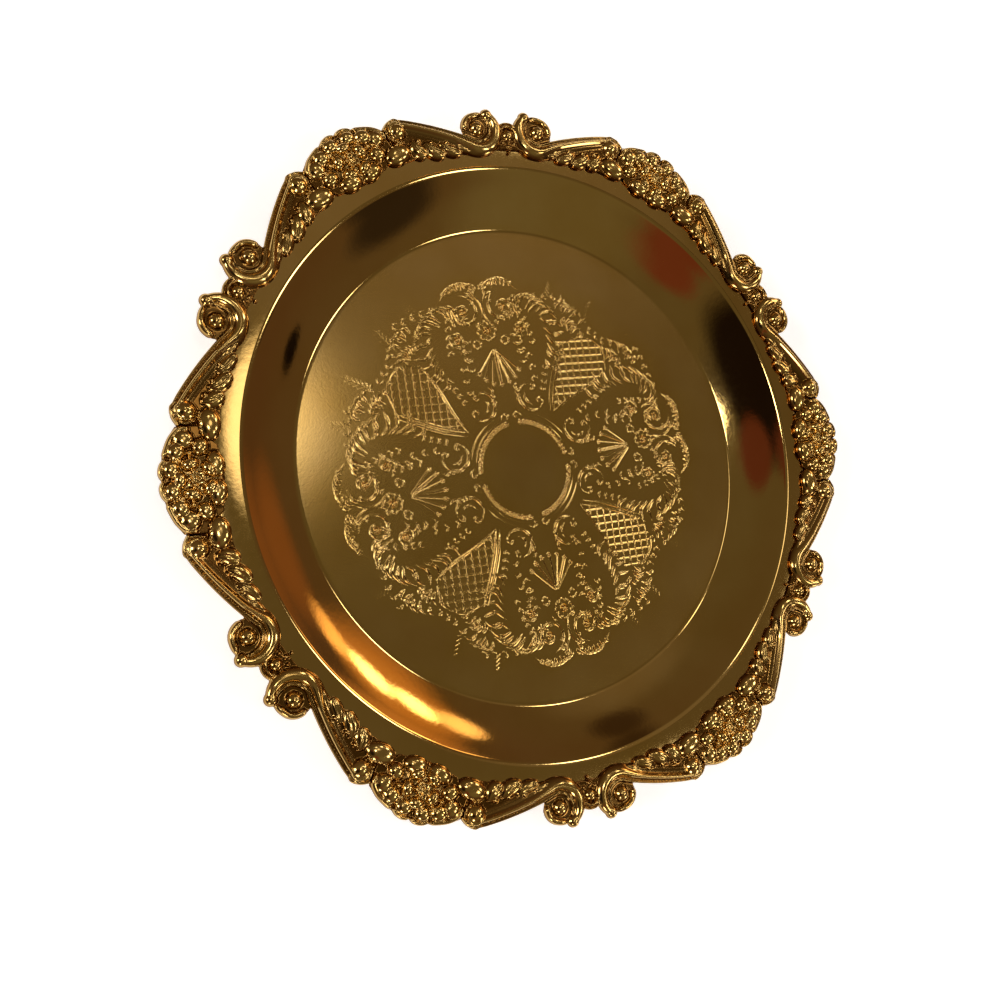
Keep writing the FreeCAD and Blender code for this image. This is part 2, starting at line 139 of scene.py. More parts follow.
class Skin:
    """Points and faces of the closed forms that become one mesh."""

    def __init__(self):
        self.points = []
        self.faces = []
        self.count = 0

    def add(self, points, faces):
        points = np.array(points, float).reshape(-1, 3)
        self.faces += [[corner + self.count for corner in face] for face in faces]
        self.points.append(points)
        self.count += len(points)

    def loft(self, rings, flat_ends=False):
        """Closed form through rings of as many points each; its ends are fans, or flat faces."""
        rings = np.array(rings, float)
        layers, around = rings.shape[:2]
        points = rings.reshape(-1, 3)
        faces = []
        for layer in range(layers - 1):
            faces += band(layer * around, (layer + 1) * around, around)
        last = (layers - 1) * around
        if flat_ends:
            faces.append(list(range(around - 1, -1, -1)))
            faces.append(list(range(last, last + around)))
        else:
            points = np.vstack([points, rings[0].mean(0), rings[-1].mean(0)])
            for corner in range(around):
                following = (corner + 1) % around
                faces.append([len(points) - 2, following, corner])
                faces.append([len(points) - 1, last + corner, last + following])
        self.add(points, faces)

    def join(self, other, change=lambda points: points, flip=False):
        """Add another skin's forms, moved by a function; a mirror image is turned inside out."""
        faces = [face[::-1] for face in other.faces] if flip else other.faces
        self.add(change(np.vstack(other.points)), faces)


def make_piece(name, skin, material, node, sharp_angle):
    """Mesh object from a skin, which stands for one CAD node."""
    mesh = bpy.data.meshes.new(name)
    mesh.from_pydata((np.vstack(skin.points) * MM).tolist(), [], skin.faces)
    work = bmesh.new()
    work.from_mesh(mesh)
    bmesh.ops.recalc_face_normals(work, faces=work.faces)
    work.to_mesh(mesh)
    work.free()
    mesh.shade_smooth()
    mesh.set_sharp_from_angle(angle=math.radians(sharp_angle))
    mesh.materials.append(material)
    piece = bpy.data.objects.new(name, mesh)
    bpy.context.collection.objects.link(piece)
    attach(piece, "root")
    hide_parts(node)
    return piece


def melted(skin):
    """The skin's forms run together into one closed surface with soft hollows, as in a casting."""
    mesh = bpy.data.meshes.new("forms")
    mesh.from_pydata(np.vstack(skin.points).tolist(), [], skin.faces)
    forms = bpy.data.objects.new("forms", mesh)
    bpy.context.collection.objects.link(forms)
    grain = forms.modifiers.new("grain", "REMESH")
    grain.mode = "VOXEL"
    grain.voxel_size = CASTING_GRAIN
    soft = forms.modifiers.new("soft", "SMOOTH")
    soft.factor = 0.5
    soft.iterations = CASTING_SOFTNESS
    cast = forms.evaluated_get(bpy.context.evaluated_depsgraph_get()).to_mesh()
    points = np.empty(len(cast.vertices) * 3)
    cast.vertices.foreach_get("co", points)
    points = points.reshape(-1, 3)
    points[:, 2] = np.clip(points[:, 2], FLANGE_HEIGHT, ORNAMENT_TOP)
    melt = Skin()
    melt.add(points, [list(face.vertices) for face in cast.polygons])
    bpy.data.objects.remove(forms)
    return melt


def rounded_line(corners):
    """Line through corners (across, up, bend radius), with an arc at each that has one."""
    points = [np.array(corners[0][:2], float)]
    for before, corner, after in zip(corners, corners[1:], corners[2:]):
        here, bend = np.array(corner[:2], float), corner[2]
        if bend == 0:
            points.append(here)
            continue
        inwards = np.array(before[:2]) - here
        onwards = np.array(after[:2]) - here
        inwards /= np.linalg.norm(inwards)
        onwards /= np.linalg.norm(onwards)
        half = math.acos(np.clip(inwards @ onwards, -1, 1)) / 2
        reach = bend / math.tan(half)
        halfway = (inwards + onwards) / np.linalg.norm(inwards + onwards)
        middle = here + halfway * bend / math.sin(half)
        start, end = here + inwards * reach - middle, here + onwards * reach - middle
        for share in np.linspace(0, 1, BEND_STEPS):
            spoke = start * (1 - share) + end * share
            points.append(middle + spoke / np.linalg.norm(spoke) * bend)
    points.append(np.array(corners[-1][:2], float))
    return np.array(points)


def hollow_of_wall():
    """Corner under the middle of the wall's straight line, which its long bend is drawn around."""
    middle = np.array([BASE_RADIUS + RIM_RADIUS, SHEET + FLANGE_HEIGHT]) / 2
    along = np.array([RIM_RADIUS - BASE_RADIUS, FLANGE_HEIGHT - SHEET])
    return middle + np.array([along[1], -along[0]]) / np.linalg.norm(along) * WALL_HOLLOW


def make_dish_wall(material):
    """Sloping wall, rounded rim and flat flange of the sheet, turned around the axis."""
    slope = math.atan2(FLANGE_HEIGHT - SHEET, RIM_RADIUS - BASE_RADIUS)
    shift = SHEET * math.tan(slope / 2)
    section = rounded_line([
        (BASE_RADIUS - CREASE_REACH, 0, 0),
        (BASE_RADIUS - CREASE_REACH, SHEET, 0),
        (BASE_RADIUS, SHEET, CREASE_FILLET),
        (*hollow_of_wall(), WALL_BEND),
        (RIM_RADIUS, FLANGE_HEIGHT, RIM_BEND),
        (FLANGE_CREST, FLANGE_HEIGHT, FLANGE_BEND),
        (SHEET_RADIUS, FLANGE_HEIGHT - FLANGE_DROP, EDGE_BEND),
        (SHEET_RADIUS, FLANGE_HEIGHT - SHEET, EDGE_BEND),
        (RIM_RADIUS + shift, FLANGE_HEIGHT - SHEET, RIM_BEND - SHEET),
        (BASE_RADIUS + shift, 0, CREASE_FILLET + SHEET),
        (BASE_RADIUS - CREASE_REACH, 0, 0),
    ])[:-1]
    rings = np.array([np.column_stack([polar(section[:, 0], angle), section[:, 1]])
                      for angle in np.linspace(0, 360, WALL_SEGMENTS, endpoint=False)])
    layers, around = rings.shape[:2]
    faces = []
    for layer in range(layers):
        faces += band(layer * around, (layer + 1) % layers * around, around)
    skin = Skin()
    skin.add(rings, faces)
    return make_piece("dish_wall", skin, material, "dish", WALL_SHARP_FROM)


def disc_points(count):
    """Grid of a square wrapped on the unit disc, so that its cells stay about as large everywhere."""
    line = np.linspace(-1, 1, count + 1)
    across, up = np.meshgrid(line, line)
    wide = np.abs(across) > np.abs(up)
    safe_across = np.where(across == 0, 1, across)
    safe_up = np.where(up == 0, 1, up)
    angle = np.where(wide, 45 * up / safe_across, 90 - 45 * across / safe_up)
    radius = np.where(wide, across, up)
    return polar(radius, angle)


def make_dish_base(material, relief):
    """Flat satin base with its chased medallion, as a closed disc."""
    grid = disc_points(BASE_CELLS) * FINE_RADIUS
    top = np.dstack([grid, SHEET + relief(grid[..., 0], grid[..., 1])])
    side = BASE_CELLS + 1
    index = np.arange(side * side).reshape(side, side)
    faces = np.stack([index[:-1, :-1], index[:-1, 1:], index[1:, 1:], index[1:, :-1]], -1).reshape(-1, 4)
    skin = Skin()
    skin.add(top, faces.tolist())
    # Rings out to the crease and down its side, then a fan to the middle of the underside.
    previous = np.concatenate([index[0, :-1], index[:-1, -1], index[-1, :0:-1], index[:0:-1, 0]])
    spokes = grid.reshape(-1, 2)[previous] / FINE_RADIUS
    rim = BASE_RADIUS - CREASE_REACH
    for radius, level in ((rim - BASE_EDGE, SHEET), (rim, SHEET), (rim, 0)):
        following = np.arange(skin.count, skin.count + len(spokes))
        rows = np.stack([previous, np.roll(previous, -1), np.roll(following, -1), following], -1)
        skin.add(np.column_stack([spokes * radius, np.full(len(spokes), level)]), [])
        skin.faces += rows.tolist()
        previous = following
    skin.add([(0, 0, 0)], [])
    middle = skin.count - 1
    skin.faces += [[int(first), int(second), middle]
                   for first, second in zip(previous, np.roll(previous, -1))]
    return make_piece("dish_base", skin, material, "dish", BASE_SHARP_FROM)


# Chased medallion of the base. Places in it are polar: millimetres from its middle, and degrees from
# the axis of the lattice panel of each quarter.
MEDALLION_MIDDLE = (-3.6, -0.5)
MEDALLION_TURN = 24
MEDALLION_QUARTERS = 4
FAN_AXIS = 44.5

# Chased lines: the pitch of the grid that takes them, the share of a line's width that is cut, how
# thin its ends are, and its depth, which is full from one half width on. Beside it the metal is
# thrown up into a lip, whose place and spread are in half widths.
CANVAS_PITCH = 0.1
UNTOUCHED = 9.0
LINE_SHARE = 0.66
LINE_TAPER = 0.35
LINE_MARGIN = 2.4
CHASING_DEPTH = 0.25
FULL_HALF_WIDTH = 0.5
DEEPEST_SHARE = 1.3
LIP_HEIGHT = 0.17
LIP_PLACE = 1.35
LIP_SPREAD = 0.4

# Pearls between the lines: their height, and the ring cut around them, in shares of the radius.
PEARL_RISE = 0.8
RING_PLACE = 1.25
RING_WIDTH = 0.4
RING_HALF_WIDTH = 0.7


class Canvas:
    """Fine grid that takes the chased lines, as the distance to the nearest one in half widths."""

    def __init__(self, reach):
        self.reach = reach
        self.side = int(2 * reach / CANVAS_PITCH) + 1
        self.nearest = np.full((self.side, self.side), UNTOUCHED)
        self.half_width = np.zeros((self.side, self.side))
        self.pearls = np.zeros((self.side, self.side))

    def window(self, low, high):
        """Part of the grid between two corners: its slices, and the coordinates of its points."""
        first = np.clip(((np.array(low) + self.reach) / CANVAS_PITCH).astype(int), 0, self.side - 1)
        last = np.clip(((np.array(high) + self.reach) / CANVAS_PITCH).astype(int) + 2, 1, self.side)
        across = np.arange(first[0], last[0]) * CANVAS_PITCH - self.reach
        up = np.arange(first[1], last[1]) * CANVAS_PITCH - self.reach
        return (slice(first[1], last[1]), slice(first[0], last[0])), *np.meshgrid(across, up)

    def keep_closer(self, place, distance, half_width, allowed=True):
        """Put a line's distance and half width into the grid wherever no other line is closer."""
        closer = (distance < self.nearest[place]) & allowed
        self.nearest[place] = np.where(closer, distance, self.nearest[place])
        self.half_width[place] = np.where(closer, half_width, self.half_width[place])

    def line(self, points, width, taper):
        """Chased line, thinner towards its two ends."""
        points = np.array(points, float)
        share = np.linspace(-1, 1, len(points))
        halves = LINE_SHARE * width / 2 * (1 - (1 - taper) * np.abs(share) ** 2.5)
        for start, end, half in zip(points, points[1:], (halves[1:] + halves[:-1]) / 2):
            margin = LINE_MARGIN * half
            low, high = np.minimum(start, end) - margin, np.maximum(start, end) + margin
            place, across, up = self.window(low, high)
            run = end - start
            along = ((across - start[0]) * run[0] + (up - start[1]) * run[1]) / max(run @ run, 1e-9)
            along = np.clip(along, 0, 1)
            distance = np.hypot(across - start[0] - along * run[0], up - start[1] - along * run[1]) / half
            self.keep_closer(place, distance, half)

    def pearl(self, middle, radius):
        """Small raised pearl with a chased ring around it."""
        place, across, up = self.window(np.array(middle) - 2 * radius, np.array(middle) + 2 * radius)
        distance = np.hypot(across - middle[0], up - middle[1]) / radius
        rise = radius * PEARL_RISE * np.sqrt(np.clip(1 - distance ** 2, 0, 1))
        self.pearls[place] = np.maximum(self.pearls[place], rise)
        ring = np.abs(distance - RING_PLACE) / RING_WIDTH
        self.keep_closer(place, ring, RING_HALF_WIDTH * radius, ring < 1)

    def relief(self):
        """Function that gives the height of the chasing at any place."""
        groove = np.clip(1 - self.nearest ** 2, 0, 1) ** 1.5
        lip = np.exp(-((self.nearest - LIP_PLACE) / LIP_SPREAD) ** 2)
        scale = np.clip(self.half_width / FULL_HALF_WIDTH, 0, DEEPEST_SHARE)
        height = scale * (LIP_HEIGHT * lip - CHASING_DEPTH * groove) + self.pearls

        def height_at(across, up):
            column = np.clip((across + self.reach) / CANVAS_PITCH, 0, self.side - 1.001)
            row = np.clip((up + self.reach) / CANVAS_PITCH, 0, self.side - 1.001)
            left, low = column.astype(int), row.astype(int)
            across_share, up_share = column - left, row - low
            lower = height[low, left] * (1 - across_share) + height[low, left + 1] * across_share
            upper = height[low + 1, left] * (1 - across_share) + height[low + 1, left + 1] * across_share
            return lower * (1 - up_share) + upper * up_share

        return height_at


def bead_arc(draw):
    """Row of beads around the plain middle, with two rails outside it and a curl at each end."""
    for angle in np.arange(-36, 37, 5.1):
        draw.pearl(polar(17.0, angle), 0.5)
    draw.line(arc((0, 0), 18.7, -33, 31), 0.5)
    draw.line(arc((0, 0), 20.5, -27, 25), 0.55)
    for side in (-1, 1):
        draw.line(spiral(polar(19.2, side * 38.5), 1.9, side * -60, side * 300), 0.7)


def inner_scrolls(draw):
    """Two C-scrolls between the bead arc and the foot of the lattice panel."""
    for side in (-1, 1):
        middle = polar(26.5, side * 23)
        outward = 180 + side * 23
        draw.line(arc(middle, 5.0, outward - side * 160, outward + side * 60), 0.9)
        first_eye = middle + polar(3.2, outward + side * 75)
        second_eye = middle + polar(3.2, outward - side * 175)
        draw.line(spiral(first_eye, 1.9, outward + side * 20, side * 330), 0.7)
        draw.line(spiral(second_eye, 1.6, outward - side * 120, -side * 330), 0.7)
        draw.line(arc(middle, 2.6, outward - side * 120, outward + side * 20), 0.7)
        for number in range(3):
            start = polar(23.5 + 2.2 * number, side * (32 + number))
            stroke = [start, start + polar(2.0, side * 70), start + polar(3.4, side * 40)]
            draw.line(smooth_curve(stroke), 0.7)


# Corners of the lattice panel, from its foot up one side and down the other.
PANEL_CORNERS = [(24.5, 1), (32, 7), (40, 9.3), (50, 10.5), (56, 3.5), (56.5, -5), (51, -11.3),
                 (42, -9.5), (32, -4)]


def inside_outline(points, outline):
    """Which of the points lie inside a closed outline."""
    inside = np.zeros(len(points), bool)
    for start, end in zip(outline, np.roll(outline, -1, axis=0)):
        between = (start[1] > points[:, 1]) != (end[1] > points[:, 1])
        rise = end[1] - start[1] if end[1] != start[1] else 1e-9
        crossing = start[0] + (end[0] - start[0]) * (points[:, 1] - start[1]) / rise
        inside ^= between & (points[:, 0] < crossing)
    return inside


def lattice_panel(draw):
    """Shield of crossing lines with a double rail on one side, as in rococo cartouches."""
    corners = [polar(radius, angle) for radius, angle in PANEL_CORNERS]
    outline = smooth_curve(corners + corners[:1])
    middle = polar(42, 0)
    for tilt in (38, -52):
        for offset in np.arange(-21, 22, 2.7):
            along = np.linspace(-24, 24, 200)[:, None]
            points = middle + polar(1, tilt + QUARTER_TURN) * offset + along * polar(1, tilt)
            kept = points[inside_outline(points, outline)]
            if len(kept) > 8:
                draw.line(kept[::6], 0.62, 0.9)
    rail = smooth_curve(corners[:4])
    draw.line(rail, 1.0)
    draw.line(rail + polar(1.5, 110), 0.9)
    draw.line(smooth_curve(corners[6:] + corners[:1]), 0.8)
    draw.line(smooth_curve(corners[3:7]), 0.6)


def acanthus(draw, spine, count, lean, length, width):
    """Curved strokes side by side along a spine, longest in its middle, as in an acanthus leaf."""
    spine = smooth_curve(spine)
    for number, share in enumerate(np.linspace(0.04, 0.96, count)):
        place = int(share * (len(spine) - 2))
        heading = spine[place + 1] - spine[place]
        turn = math.degrees(math.atan2(heading[1], heading[0])) + lean
        reach = length * (0.6 + 0.4 * math.sin(math.pi * share)) * (1 if number % 2 else 0.82)
        side = math.copysign(1, lean)
        middle = spine[place] + polar(0.55 * reach, turn - side * 14)
        draw.line(smooth_curve([spine[place], middle, spine[place] + polar(reach, turn + side * 12)]), width)


def curls(draw, row, size, turn):
    """Row of small open curls."""
    for place in row:
        draw.line(arc(place, size, turn, turn + 200, 10), 0.7)


def eyed_scroll(draw, middle, radius, start, sweep, width):
    """C-scroll that winds in to a pearl."""
    draw.line(spiral(middle, radius, start, sweep, 0.3), width)
    draw.pearl(np.array(middle), 0.8)


def fan_and_flower(draw, axis):
    """Fan of rays that opens towards the middle, and a small flower behind its root."""
    root = polar(44, axis)
    for number, swing in enumerate(np.linspace(-44, 40, 7)):
        length = 10.5 + 1.6 * math.cos(math.radians(2 * swing))
        heading = axis + 180 + swing
        ray = [root + polar(1.2, heading), root + polar(length, heading)]
        draw.line(ray, 1.3 if number % 2 else 1.0, 0.6)
        draw.pearl(root + polar(length + 0.9, heading), 0.45)
    flower = polar(50.4, axis + 1)
    draw.pearl(flower, 0.9)
    for number in range(8):
        petal = flower + polar(2.5, number * 45)
        draw.line(arc(petal, 1.0, number * 45 - 130, number * 45 + 130, 10), 0.6)
    for middle in (polar(46.5, axis - 6.5), polar(46.5, axis + 7)):
        draw.line(arc(middle, 1.4, 0, 360, 16), 0.6, 1)
    for side in (-1, 1):
        for number in range(4):
            place = polar(40 + 3.2 * number, axis + side * (15 - 1.4 * number))
            draw.line(arc(place, 1.5, axis + side * 60, axis + side * 250, 10), 0.7)
        spine = [polar(53.5, axis + side * 3), polar(57, axis + side * 8), polar(57, axis + side * 14)]
        acanthus(draw, spine, 6, side * 60, 3.4, 0.7)
        row = [polar(33 + 4 * number, axis + side * (23 - 2.2 * number)) for number in range(3)]
        curls(draw, row, 1.0, axis + side * 80)


def spray(draw, root, heading, length, pairs):
    """Small stem with pairs of leaflets."""
    root = np.array(root)
    draw.line([root, root + polar(length, heading)], 0.5)
    for number in range(pairs):
        place = root + polar(length * (0.1 + 0.85 * number / pairs), heading)
        size = 2.5 * (1 - 0.5 * number / pairs)
        for side in (-1, 1):
            draw.line([place, place + polar(size, heading + side * 42)], 0.85)


# Acanthus leaves on one side of the panel: the places along the spine, then the number of strokes,
# their lean, length and width. The first closes the ring of the medallion, the second hangs inwards.
HEAD_LEAVES = [
    ([(55.5, 13), (61, 19), (64, 27), (62.5, 34)], 9, 42, 9.5, 1.0),
    ([(56, 22), (51, 19), (46, 17.5), (40, 17)], 6, 52, 9.0, 1.0),
    ([(57, 4), (59.5, 9), (59, 14)], 6, 70, 5.0, 0.9),
    ([(61.5, 5), (64.5, 11), (64.5, 17)], 6, 48, 5.4, 0.9),
    ([(53, 27), (48, 29), (42, 30)], 5, -50, 4.2, 0.8),
    ([(67.5, 33), (69.2, 38), (67.5, 44)], 8, 55, 3.0, 0.85),
    ([(60, 42.5), (63.5, 43), (66, 44.5)], 4, -60, 3.2, 0.85),
]

# Rows of curls on one side of the panel: the first place, the step to the next, how many there are,
# their size and their turn.
CURL_ROWS = [
    ((47, 25), (2.6, 1.5), 5, 0.9, 140),
    ((66.2, 15), (-0.7, 3.2), 5, 1.1, 60),
    ((31, 15), (2.7, 0.5), 4, 0.9, 100),
]

# Sprays above the panel: the root, the heading of the stem, its length and its pairs of leaflets.
SPRAYS = [((60.5, 6.5), 9, 10.5, 5), ((60.5, -9), -12, 10.0, 5), ((64.0, -21), -26, 7.0, 4),
          ((64.0, 20), 24, 7.0, 4)]


def outer_ornament(draw):
    """Acanthus leaves, C-scrolls and sprays around the head of the lattice panel."""
    for side in (-1, 1):
        for spine, count, lean, length, width in HEAD_LEAVES:
            places = [polar(radius, side * angle) for radius, angle in spine]
            acanthus(draw, places, count, side * lean, length, width)
        eye = polar(58.5, side * 37.5)
        eyed_scroll(draw, eye, 6.4, side * 50, side * 430, 0.9)
        draw.line(arc(eye, 7.6, side * 60, side * 190), 0.6)
        eyed_scroll(draw, polar(50.5, side * 31), 3.4, side * -90, side * 330, 0.75)
        edge = [polar(65, side * 31), polar(68.6, side * 36), polar(68.2, side * 41), polar(65, side * 44)]
        draw.line(smooth_curve(edge), 0.8)
        for (radius, angle), (radius_step, angle_step), count, size, turn in CURL_ROWS:
            row = [polar(radius + radius_step * number, side * (angle + angle_step * number))
                   for number in range(count)]
            curls(draw, row, size, side * turn)
    for root, heading, length, pairs in SPRAYS:
        spray(draw, polar(*root), heading, length, pairs)
    curls(draw, [polar(59.5, angle) for angle in (-4, -1, 2)], 1.1, 20)


class Quarter:
    """Draws on a canvas in the frame of one quarter of the medallion."""

    def __init__(self, canvas, turn):
        self.canvas = canvas
        self.turn = turn

    def placed(self, points):
        return turned(points, self.turn) + MEDALLION_MIDDLE

    def line(self, points, width, taper=LINE_TAPER):
        self.canvas.line(self.placed(points), width, taper)

    def pearl(self, middle, radius):
        self.canvas.pearl(self.placed(middle), radius)


def chased_medallion():
    canvas = Canvas(FINE_RADIUS)
    for number in range(MEDALLION_QUARTERS):
        draw = Quarter(canvas, MEDALLION_TURN + number * QUARTER_TURN)
        bead_arc(draw)
        inner_scrolls(draw)
        lattice_panel(draw)
        outer_ornament(draw)
        fan_and_flower(draw, FAN_AXIS)
    return canvas.relief()


def plate(skin, outline, height):
    """Flat plate on the flange with upright sides."""
    levels = (FLANGE_HEIGHT, FLANGE_HEIGHT + height)
    skin.loft([np.column_stack([outline, np.full(len(outline), level)]) for level in levels], flat_ends=True)


def dome(skin, middle, radius, height, around, level=0.0):
    """Pearl that sits on the flange, or at a level above it."""
    foot = FLANGE_HEIGHT + level
    spokes = np.linspace(0, 360, around, endpoint=False)
    rings = []
    for angle in (0, 18, 36, 54, 72, 84):
        climb = math.radians(angle)
        ring = np.array(middle) + polar(radius * math.cos(climb), spokes)
        rings.append(np.column_stack([ring, np.full(around, foot + height * math.sin(climb))]))
    skin.loft(rings)


PETAL_CORNERS = 44
PETAL_FULLNESS = 0.8


def pillow(skin, middle, length, width, turn, height):
    """Petal: an oval dome with a full edge."""
    shape = polar(1, np.linspace(0, 360, PETAL_CORNERS, endpoint=False)) * (length / 2, width / 2)
    rings = []
    for angle in np.linspace(0, 84, 11):
        reach = math.cos(math.radians(angle)) ** PETAL_FULLNESS
        level = np.full(PETAL_CORNERS, height * math.sin(math.radians(angle)))
        rings.append(np.column_stack([shape * reach, level]))
    skin.loft(turned(np.array(rings), turn) + (middle[0], middle[1], FLANGE_HEIGHT))


# Bud of a rose: the lobes of its outline and how deep they are cut, the level of its hollow, the
# share of its radius where its rim is highest, and how much each lobe swells.
BUD_CORNERS = 48
BUD_LOBES = 5
BUD_BITE = 0.3
BUD_HOLLOW = 0.66
BUD_CREST = 0.76
BUD_SWELL = 0.1


def bud(skin, middle, width, turn, height):
    """Shallow cup with a rounded rim and a lobed outline."""
    angles = np.linspace(0, 360, BUD_CORNERS, endpoint=False)
    reach = 1 - BUD_BITE * (1 - np.abs(np.cos(np.radians(angles * BUD_LOBES / 2))))
    shape = polar(reach, angles) * (width / 2, width / 2)
    lobes = np.cos(np.radians(angles * BUD_LOBES))
    rings = []
    for share in (0.08, 0.2, 0.34, 0.48, 0.6, 0.69, 0.76, 0.83, 0.89, 0.94, 0.98, 1.0):
        if share <= BUD_CREST:
            climb = (share / BUD_CREST) ** 2 * (3 - 2 * share / BUD_CREST) ** 0.5
            level = min(BUD_HOLLOW + (1 - BUD_HOLLOW) * climb, 1)
        else:
            level = 0.35 + 0.65 * math.sqrt(1 - ((share - BUD_CREST) / (1 - BUD_CREST)) ** 2)
        rib = 1 + BUD_SWELL * lobes * min(1, 1.6 * share)
        rings.append(np.column_stack([shape * share, height * level * rib]))
    rings.append(np.column_stack([shape, np.zeros(BUD_CORNERS)]))
    skin.loft(turned(np.array(rings), turn) + (middle[0], middle[1], FLANGE_HEIGHT))


def sweep(skin, path, widths, heights, sections):
    """Form along a flat path; its sections give shares of the width to the left, and of the height."""
    path = np.array(path, float)
    along = np.gradient(path, axis=0)
    along /= np.linalg.norm(along, axis=1)[:, None]
    left = np.column_stack([-along[:, 1], along[:, 0]])
    sections = np.broadcast_to(sections, (len(path),) + np.shape(sections)[-2:])
    rings = []
    for place, side, width, height, section in zip(path, left, widths, heights, sections):
        ring = place + side * section[:, :1] * width
        rings.append(np.column_stack([ring, FLANGE_HEIGHT + section[:, 1] * height]))
    skin.loft(rings)


HALF_ROUND = np.column_stack([0.5 * np.cos(np.linspace(0, math.pi, 13)), np.sin(np.linspace(0, math.pi, 13))])
END_REACH = 0.16


def rounded_ends(count):
    """Shares from 0 to 1 and back that round off the two ends of a form."""
    share = np.linspace(0, 1, count)
    from_end = np.minimum(share, 1 - share) / END_REACH
    return np.sqrt(np.clip(1 - (1 - np.clip(from_end, 0.02, 1)) ** 2, 0.02, 1))


def roll(skin, path, width, height):
    """Plain round roll with rounded ends."""
    ends = rounded_ends(len(path))
    sweep(skin, path, width * ends, height * (0.4 + 0.6 * ends), HALF_ROUND)


LEAF_FULLEST = 0.6


def leaf(skin, points, width, height):
    """Leaf like a long drop: it swells from its root and ends in a round tip, with a crease along it."""
    path = smooth_curve(points)
    share = np.linspace(0, 1, len(path))
    tip = np.clip(1 - ((share - LEAF_FULLEST) / (1.02 - LEAF_FULLEST)) ** 2, 0.03, 1)
    root = 0.3 + 0.7 * np.sin(share / LEAF_FULLEST * math.pi / 2)
    swell = np.where(share < LEAF_FULLEST, root, np.sqrt(tip))
    creased = HALF_ROUND.copy()
    creased[5:8, 1] = (0.98, 0.86, 0.98)
    sweep(skin, path, width * swell, height * (0.5 + 0.5 * swell), creased)


def rose_petals(skin, side):
    """Petals on one side of a rose, around its heart."""
    def at(across, up):
        return side * across, BORDER_RADIUS + up

    # Wing: two shells side by side under a smooth rim that runs up to the crown.
    pillow(skin, at(12.0, 2.7), 6.6, 6.6, side * -38, 2.5)
    pillow(skin, at(8.4, 5.1), 6.4, 5.8, side * -20, 2.8)
    rim = smooth_curve([at(15.2, 0.6), at(15.1, 3.6), at(12.6, 6.2), at(9.0, 7.9), at(6.4, 8.7)])
    roll(skin, rim, 1.9, 2.0)
    # Crown, side curl and lower petal.
    pillow(skin, at(3.3, 7.0), 6.2, 5.4, side * -8, 2.9)
    roll(skin, smooth_curve([at(6.3, 8.2), at(4.6, 9.6), at(2.2, 10.1), at(0.1, 9.3)]), 1.5, 2.2)
    pillow(skin, at(9.6, -1.9), 5.4, 6.2, side * 60, 2.6)
    pillow(skin, at(4.35, -6.0), 8.6, 5.8, side * 12, 2.8)
    roll(skin, arc(at(4.5, -6.6), 2.6, 180 if side < 0 else 0, 90, 12), 0.9, 2.3)
    # Small beads between the petals.
    for across, up in ((7.6, 1.5), (10.6, 0.3), (5.6, 4.4)):
        dome(skin, at(across, up), 1.1, 2.9, 16, level=0.2)


# Right half of the outline of the plate under a rose, from below its heart round to the crown.
ROSE_PLATE_EDGE = 16.1
ROSE_PLATE = [(6.0, -7.6), (10.2, -7.2), (12.4, -4.4), (ROSE_PLATE_EDGE, -2.2), (ROSE_PLATE_EDGE, 4.7),
              (13.0, 7.0), (7.0, 9.2), (2.0, 9.9)]
ROSE_PETALS = 5


def make_rose_skin():
    """One rose with its heart on +Y."""
    skin = Skin()
    heart = np.array((0, BORDER_RADIUS))
    outline = ROSE_PLATE + [(-across, up) for across, up in reversed(ROSE_PLATE)]
    plate(skin, heart + np.array(outline, float), 0.7)
    dome(skin, heart, 8.6, 1.5, 48)
    for side in (-1, 1):
        rose_petals(skin, side)
    # Petals close in on the bud.
    for number in range(ROSE_PETALS):
        angle = QUARTER_TURN + number * 360 / ROSE_PETALS
        pillow(skin, heart + polar(4.7, angle), 6.0, 4.4, angle + QUARTER_TURN, 3.4)
    bud(skin, heart, 5.6, 18, ORNAMENT_TOP - FLANGE_HEIGHT - 0.3)
    dome(skin, heart, 1.3, 3.3, 20, level=0.1)
    return skin


# Half of a scroll run, with its cusp on +Y: the C-scroll around its pearl, the S-roll that bends out
# of it, the volute at the far end, and the step from the volute to the lobe below it.
SCROLL_ANGLE = 5.78
SCROLL_RADIUS = 6.9
SCROLL_TIP_ANGLE = 126
SCROLL_JOIN_ANGLE = 288
RUN_RADIUS = 113.4
RUN_END_ANGLE = 94.0
VOLUTE_PLACE = (41.07, 112.02)
LOBE_STEP = np.array((0.3, -7.8))
ROLL_HEIGHT = 2.5

# Sections of the roll from its left edge to its right one, in shares of its width and height: the
# C-scroll, then the S-roll. One turns into the other over some steps of the path.
C_SECTION = [(0.5, 0.0), (0.5, 0.35), (0.47, 0.56), (0.41, 0.64), (0.35, 0.56), (0.31, 0.44),
             (0.27, 0.5), (0.2, 0.74), (0.1, 0.93), (-0.03, 1.0), (-0.17, 0.97), (-0.3, 0.85),
             (-0.41, 0.64), (-0.48, 0.38), (-0.5, 0.18), (-0.5, 0.0)]
S_SECTION = [(0.5, 0.0), (0.5, 0.35), (0.47, 0.56), (0.41, 0.64), (0.35, 0.54), (0.31, 0.38),
             (0.27, 0.42), (0.21, 0.66), (0.14, 0.9), (0.06, 1.0), (-0.02, 0.94), (-0.1, 0.72),
             (-0.2, 0.52), (-0.34, 0.42), (-0.5, 0.38), (-0.5, 0.0)]
CHANGE_STEPS = 40


def run_middle_of(scroll):
    """Middle of the S-roll's arc, on the far side of the joint with the C-scroll."""
    return scroll + polar(SCROLL_RADIUS + RUN_RADIUS, SCROLL_JOIN_ANGLE)


